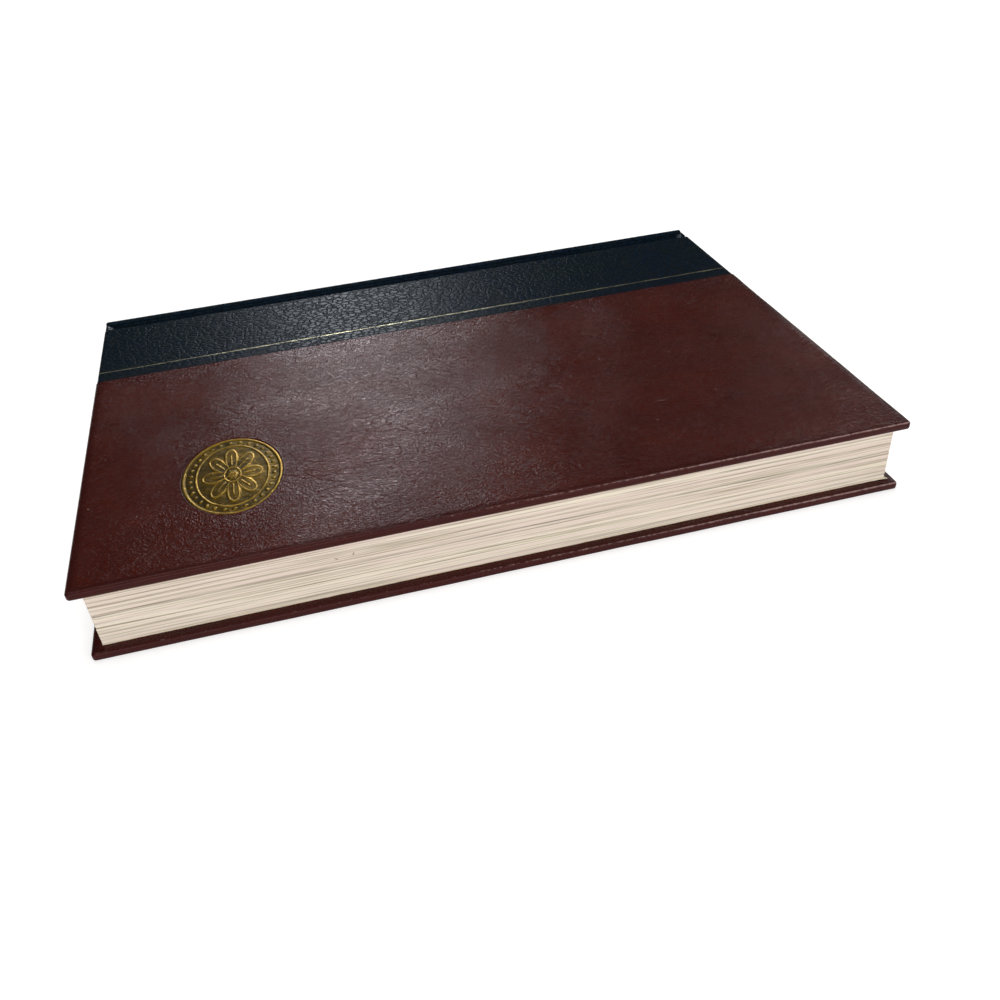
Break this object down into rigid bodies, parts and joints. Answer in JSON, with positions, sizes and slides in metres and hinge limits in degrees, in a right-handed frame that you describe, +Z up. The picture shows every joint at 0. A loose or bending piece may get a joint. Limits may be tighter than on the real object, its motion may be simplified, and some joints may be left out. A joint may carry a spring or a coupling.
{
  "type": "antique leather book",
  "caption": "Quarter-leather case-bound book lying closed: black grained spine, brown leather sides, gold line and oval seal; both covers open on their joints.",
  "frame": {"origin": "middle of the underside of the closed book, on the plane that it rests on", "axes": "+X along the spine from tail to head, +Y from the fore edge to the spine, +Z up from the back cover to the front cover"},
  "size_m": [0.261, 0.187, 0.0262],
  "materials": {
    "page_edges": "trimmed book edge, cream, matt",
    "endpaper": "uncoated cream endpaper",
    "kraft_paper": "brown kraft lining",
    "mull_cloth": "open-weave starched cotton",
    "headband_cloth": "striped woven band",
    "grey_card": "grey binder's board",
    "black_leather": "pebble grain, satin",
    "brown_leather": "fine creased grain, satin, worn at the edges",
    "gold_foil": "hot-stamped gold foil"
  },
  "bodies": {
    "book_block": {"text_block": "page_edges", "front_endpaper": "endpaper", "back_endpaper": "endpaper", "spine_mull": "mull_cloth", "spine_lining": "kraft_paper", "head_headband": "headband_cloth", "tail_headband": "headband_cloth", "spine_card": "grey_card", "spine_leather": "black_leather"},
    "front_cover": {"front_board": "grey_card", "front_side_leather": "brown_leather", "front_leather_strip": "black_leather", "front_mull_flange": "mull_cloth", "front_pastedown": "endpaper", "front_gold_line": "gold_foil", "front_gold_seal": "gold_foil"},
    "back_cover": {"back_board": "grey_card", "back_side_leather": "brown_leather", "back_leather_strip": "black_leather", "back_mull_flange": "mull_cloth", "back_pastedown": "endpaper", "back_gold_line": "gold_foil"}
  },
  "joints": [
    {"name": "front_cover_hinge", "type": "hinge", "parent": "book_block", "child": "front_cover", "pos_m": [0, 0.0893, 0.02375], "axis": [-1, 0, 0], "range_deg": [0, 175]},
    {"name": "back_cover_hinge", "type": "hinge", "parent": "book_block", "child": "back_cover", "pos_m": [0, 0.0893, 0.00245], "axis": [1, 0, 0], "range_deg": [0, 175]}
  ]
}
